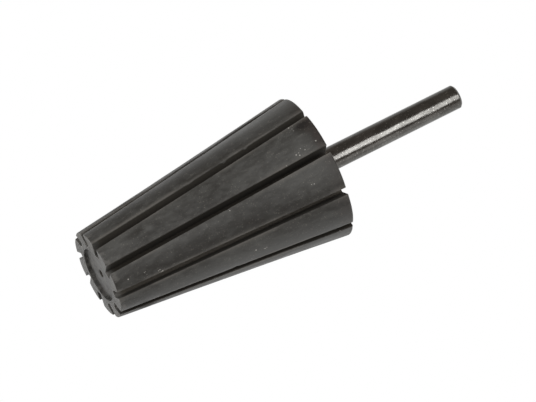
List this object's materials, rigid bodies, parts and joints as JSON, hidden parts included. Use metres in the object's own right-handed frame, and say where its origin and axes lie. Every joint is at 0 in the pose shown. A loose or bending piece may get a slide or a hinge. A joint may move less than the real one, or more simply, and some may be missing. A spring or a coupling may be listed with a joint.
{
  "type": "conical sanding sleeve holder",
  "caption": "Tapered rubber holder with leaning slots along its sides, moulded on a plain steel shank, for spinning conical abrasive sleeves in a drill or die grinder.",
  "frame": {"origin": "centre of the small end's face, on the axis, where the part stands", "axes": "+Z along the axis from the small end to the shank's tip; +X lies along the plane of one slot"},
  "size_m": [0.0366, 0.0366, 0.1005],
  "materials": {
    "black_rubber": "matt moulded rubber, faintly dusty",
    "oxide_steel": "drawn steel with a dark oxide skin"
  },
  "bodies": {
    "root": {"rubber_body": "black_rubber", "shank": "oxide_steel"}
  },
  "joints": []
}
